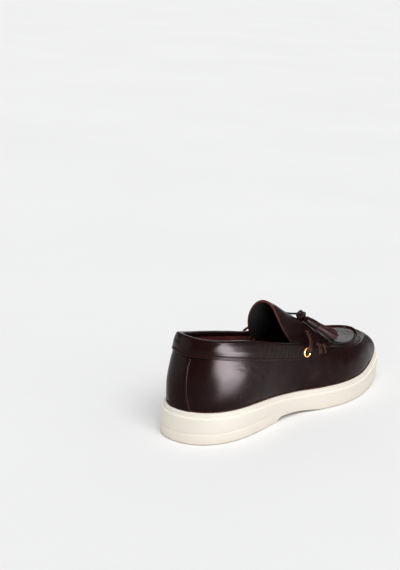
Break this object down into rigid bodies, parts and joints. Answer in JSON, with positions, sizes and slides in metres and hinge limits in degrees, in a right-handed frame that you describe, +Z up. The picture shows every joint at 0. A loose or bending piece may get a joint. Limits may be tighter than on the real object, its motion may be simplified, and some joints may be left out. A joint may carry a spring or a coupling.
{
  "type": "tassel loafer",
  "caption": "Slip-on leather shoe with a moccasin seam, folded collar band, arched tongue, tied tassels and a thick pale rubber sole.",
  "frame": {"origin": "middle of the shoe's bounding box, on the floor plane", "axes": "+X from the heel to the toe, +Y to the inner side of the foot, +Z up"},
  "size_m": [0.3, 0.1032, 0.1068],
  "materials": {
    "rubber": "matt off-white",
    "insole": "matt dark red lining",
    "upper_leather": "smooth, polished dark brown",
    "tongue_leather": "smooth dark brown, raw red-brown edge",
    "band_leather": "smooth, polished dark brown",
    "strip_leather": "smooth, polished dark brown",
    "brass": "polished",
    "lace_leather": "red-brown edge dressed",
    "tassel_leather": "smooth dark brown, red-brown cut edges"
  },
  "bodies": {
    "root": {"sole": "rubber", "insole": "insole", "upper": "upper_leather", "tongue": "tongue_leather", "collar_band": "band_leather", "heel_strip": "strip_leather", "eyelet_outer": "brass", "eyelet_inner": "brass", "lace_outer": "lace_leather", "lace_inner": "lace_leather", "knot": "lace_leather", "tassel_outer": "tassel_leather", "tassel_inner": "tassel_leather"}
  },
  "joints": []
}
